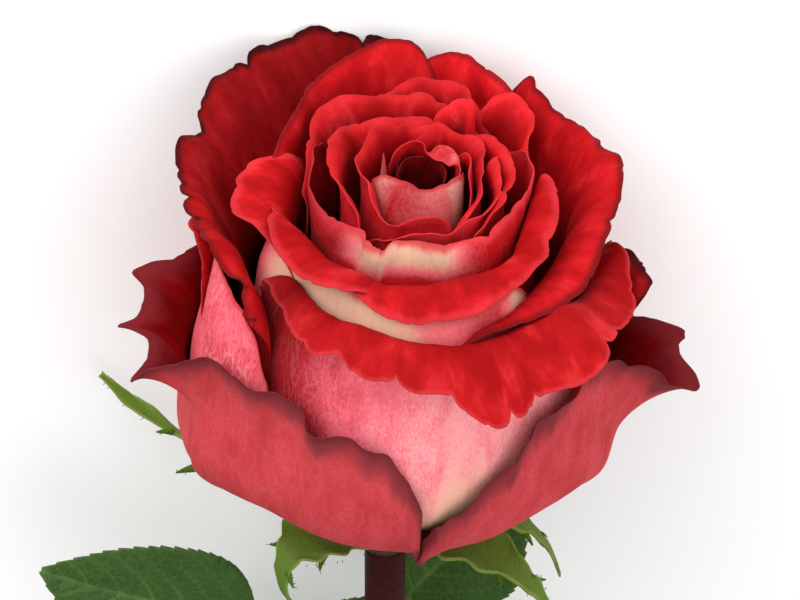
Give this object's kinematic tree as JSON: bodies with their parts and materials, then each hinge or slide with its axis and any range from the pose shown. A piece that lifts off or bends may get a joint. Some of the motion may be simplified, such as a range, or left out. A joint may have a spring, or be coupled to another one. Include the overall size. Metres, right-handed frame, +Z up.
{
  "type": "cut rose",
  "caption": "Cut garden rose lying on a table: full red bloom with rolled cream-backed petals, fringed sepals, thorny stem and toothed compound leaves.",
  "frame": {"origin": "centre of the bounding box on the table plane that the rose lies on", "axes": "+Z up from the table, +Y from the bloom along the stem to its cut end, +X to the right seen from above with the bloom nearest"},
  "size_m": [0.178, 0.3683, 0.0733],
  "materials": {
    "petals": "velvety, red inside, pink to cream on the reverse",
    "sepals": "soft satin, light green",
    "bark": "smooth satin, maroon brown over green",
    "foliage": "satin, dark green"
  },
  "bodies": {
    "root": {"bloom": "petals", "calyx": "sepals", "stem": "bark", "leaf_1": "foliage", "leaf_2": "foliage", "leaf_3": "foliage", "leaf_4": "foliage"}
  },
  "joints": []
}
